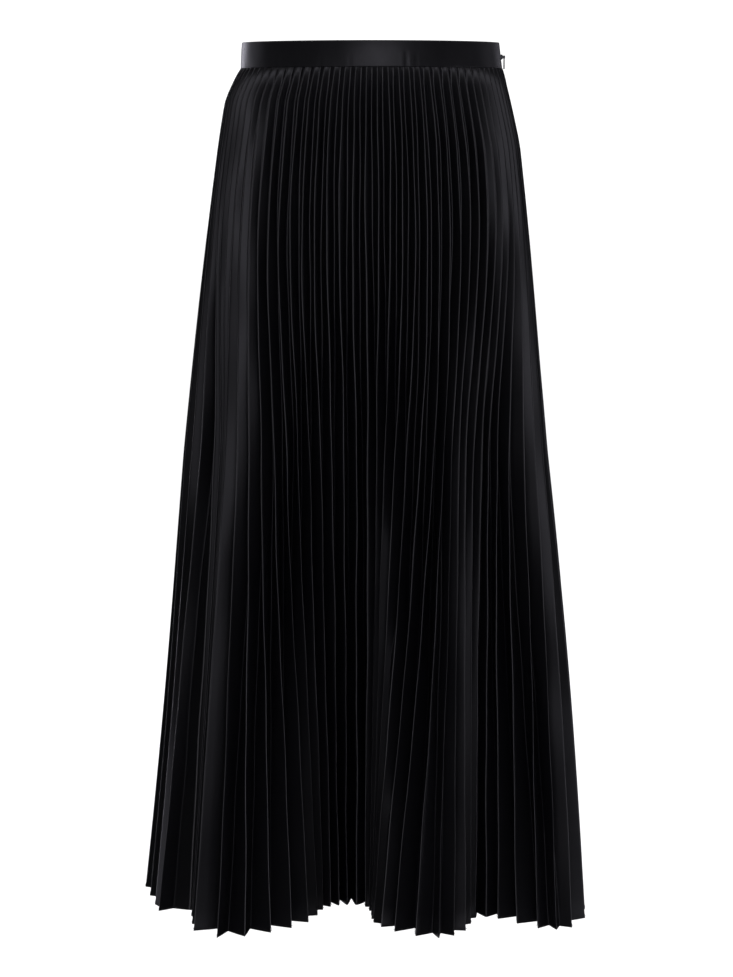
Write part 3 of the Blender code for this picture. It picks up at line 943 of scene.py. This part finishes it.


def band_satin(name):
    """The same satin lying flat, with the weave along the band and a painted highlight along its upper fold.
    """
    cloth = Finish(name)
    place = cloth.node("ShaderNodeUVMap")
    parts = cloth.tree.nodes.new("ShaderNodeSeparateXYZ")
    cloth.tree.links.new(place.socket, parts.inputs[0])
    across, up = Value(cloth.tree, parts.outputs[0]), Value(cloth.tree, parts.outputs[1])
    point = cloth.node("ShaderNodeTexCoord", output=3)
    cloud = cloth.node("ShaderNodeTexNoise", Vector=point, Scale=14.0, Detail=3.0, Roughness=0.6)
    grain = cloth.node("ShaderNodeTexNoise", Vector=point, Scale=420.0, Detail=2.0, Roughness=0.5)
    warp = (across * (FULL_TURN / WARP)).sine()
    weft = (up * (FULL_TURN / WEFT)).sine()
    weave = warp * 0.5 + weft * 0.25 + grain * 0.6
    bump = cloth.node("ShaderNodeBump", Strength=0.06, Distance=0.0002, Height=weave)
    # painted highlight: a pale line along the band's rounded upper fold, over a pale tone that varies at
    # random
    painted_upper_fold_line = (1 - (up - PAINTED_FOLD_LINE_HEIGHT).size() / BAND_FOLD).held()
    colour = cloth.blend((0.02 + painted_upper_fold_line * 0.28 + cloud * 0.07).held(), DARK, PAINTED_SHEEN_AND_PALE_TONE)
    cloth.set(
        Base_Color=colour,
        Roughness=0.30 + 0.12 * cloud + 0.04 * grain,
        Normal=bump,
        Specular_IOR_Level=0.37,
    )
    return cloth


band_finish = band_satin("band_satin")
band_finish.on(band)


# %% Thread, tape, coil and enamel
RIB_REPEAT = 0.0009  # across the tape
RIB_STEP = 0.0008  # along it


def thread_finish(name):
    """Spun polyester thread with its twist."""
    thread = Finish(name)
    point = thread.node("ShaderNodeTexCoord", output=3)
    twist = thread.node("ShaderNodeTexNoise", Vector=point, Scale=1500.0, Detail=1.0)
    bump = thread.node("ShaderNodeBump", Strength=0.3, Distance=0.0001, Height=twist)
    colour = thread.blend(twist, (0.003, 0.003, 0.0034, 1), (0.014, 0.014, 0.015, 1))
    thread.set(Base_Color=colour, Roughness=0.55 + 0.2 * twist, Normal=bump)
    return thread


def tape_finish(name):
    """A matt woven tape with a herringbone of fine ribs."""
    tape = Finish(name)
    place = tape.node("ShaderNodeUVMap")
    parts = tape.tree.nodes.new("ShaderNodeSeparateXYZ")
    tape.tree.links.new(place.socket, parts.inputs[0])
    across, down = Value(tape.tree, parts.outputs[0]), Value(tape.tree, parts.outputs[1])
    ribs = ((across * (FULL_TURN / RIB_REPEAT)).sine() * 1.6 + down * (FULL_TURN / RIB_STEP)).sine()
    height = ribs * 0.5 + 0.5
    bump = tape.node("ShaderNodeBump", Strength=0.4, Distance=0.0002, Height=height)
    # painted shade: the tape is darker in the grooves between its ribs, following the same height as the bump
    colour = tape.blend(height, (0.004, 0.004, 0.0045, 1), (0.012, 0.012, 0.013, 1))
    tape.set(Base_Color=colour, Roughness=0.75 + 0.1 * height, Normal=bump)
    return tape


def coil_finish(name):
    """Dyed nylon wire."""
    nylon = Finish(name)
    point = nylon.node("ShaderNodeTexCoord", output=3)
    speck = nylon.node("ShaderNodeTexNoise", Vector=point, Scale=700.0, Detail=1.0)
    colour = nylon.blend(speck, (0.004, 0.004, 0.0045, 1), (0.010, 0.010, 0.011, 1))
    nylon.set(Base_Color=colour, Roughness=0.35 + 0.15 * speck)
    return nylon


def enamel_finish(name):
    """Black enamel over zinc, worn a little paler where it is handled."""
    enamel = Finish(name)
    point = enamel.node("ShaderNodeTexCoord", output=3)
    speck = enamel.node("ShaderNodeTexNoise", Vector=point, Scale=320.0, Detail=3.0)
    worn = ((speck - 0.62) * 6).held()
    colour = enamel.blend(worn, (0.006, 0.006, 0.007, 1), (0.045, 0.045, 0.048, 1))
    bump = enamel.node("ShaderNodeBump", Strength=0.15, Distance=0.0002, Height=speck)
    enamel.set(Base_Color=colour, Roughness=0.22 + 0.2 * speck, Metallic=worn * 0.6, Normal=bump)
    return enamel


thread_black = thread_finish("black_thread")
thread_black.on(hem_stitches_front, hem_stitches_back, band_stitches, tape_stitches_front, tape_stitches_back)
tape_black = tape_finish("woven_tape")
tape_black.on(tape_front, tape_back)
coil_black = coil_finish("nylon_coil")
coil_black.on(coil)
enamel_black = enamel_finish("black_enamel")
for node in ("zip_slider", "zip_pull"):
    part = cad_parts[node]
    for place in range(len(part.material_slots)):
        part.material_slots[place].material = enamel_black.material

# %% [markdown]
# ## What the panels were cut from
# Each panel is a sector of a ring. The waist edge is the sum of the narrow pleat sides, and the hem edge the
# sum of the wide ones.

# %% [markdown]
# ## The studio
# Black satin shows only what it reflects. Two soft lights stand in front, one above and one low, so the faces
# that are turned to them shine and the sides of the deep pleats stay black. Tall lights beside and behind the
# skirt draw its two sides, more strongly on the left. The pale surroundings light the cloth a little but are
# kept out of its reflections.

# %% Floor, lights and surroundings
FLOOR = -1.10
COOL = (1.0, 0.98, 1.12)
MIDDLE = (0, 0, -0.4)


def studio_finish(name, colour):
    """A matt studio surface with the faintest unevenness."""
    paper = Finish(name)
    point = paper.node("ShaderNodeTexCoord", output=3)
    cloud = paper.node("ShaderNodeTexNoise", Vector=point, Scale=1.5, Detail=2.0)
    shade = paper.blend(cloud, colour, tuple(0.985 * part for part in colour[:3]) + (1,))
    paper.set(Base_Color=shade, Roughness=0.9)
    return paper


clear_selection()
bpy.ops.mesh.primitive_plane_add(size=40, location=(0, 0, FLOOR))
floor = bpy.context.object
floor.name = "studio_floor"
studio_finish("studio_paper", (0.95, 0.95, 0.95, 1)).on(floor)
floor.visible_glossy = False


def soft_light(name, place, target, width, height, power):
    """A rectangular softbox that faces a point."""
    clear_selection()
    bpy.ops.object.light_add(type="AREA", location=place)
    lamp = bpy.context.object
    lamp.name = name
    lamp.data.shape = "RECTANGLE"
    lamp.data.size = width
    lamp.data.size_y = height
    lamp.data.energy = power
    lamp.data.color = COOL
    aim = Vector(target) - Vector(place)
    lamp.rotation_euler = aim.to_track_quat("-Z", "Y").to_euler()
    return lamp


soft_light("key_box", (0.25, -3.3, 0.35), MIDDLE, 1.1, 0.8, 8.9)
soft_light("low_box", (0.15, -3.0, -0.75), MIDDLE, 2.9, 1.1, 4.9)
soft_light("left_side", (-2.75, 1.2, -0.4), MIDDLE, 0.9, 2.6, 6.4)
soft_light("right_side", (2.75, 1.0, -0.4), MIDDLE, 0.9, 2.6, 3.0)
soft_light("left_rim", (-1.75, 2.45, -0.4), MIDDLE, 0.8, 2.6, 24)
soft_light("right_rim", (1.75, 2.45, -0.4), MIDDLE, 0.8, 2.6, 4)
soft_light("right_low", (2.8, -1.0, -0.8), (0, 0, -0.6), 0.8, 1.0, 4)

world = bpy.context.scene.world or bpy.data.worlds.new("studio")
bpy.context.scene.world = world
world.use_nodes = True
background = world.node_tree.nodes["Background"]
background.inputs["Color"].default_value = (1, 1, 1, 1)
background.inputs["Strength"].default_value = 1.22
world.cycles_visibility.glossy = False
bpy.context.scene.view_settings.view_transform = "Standard"
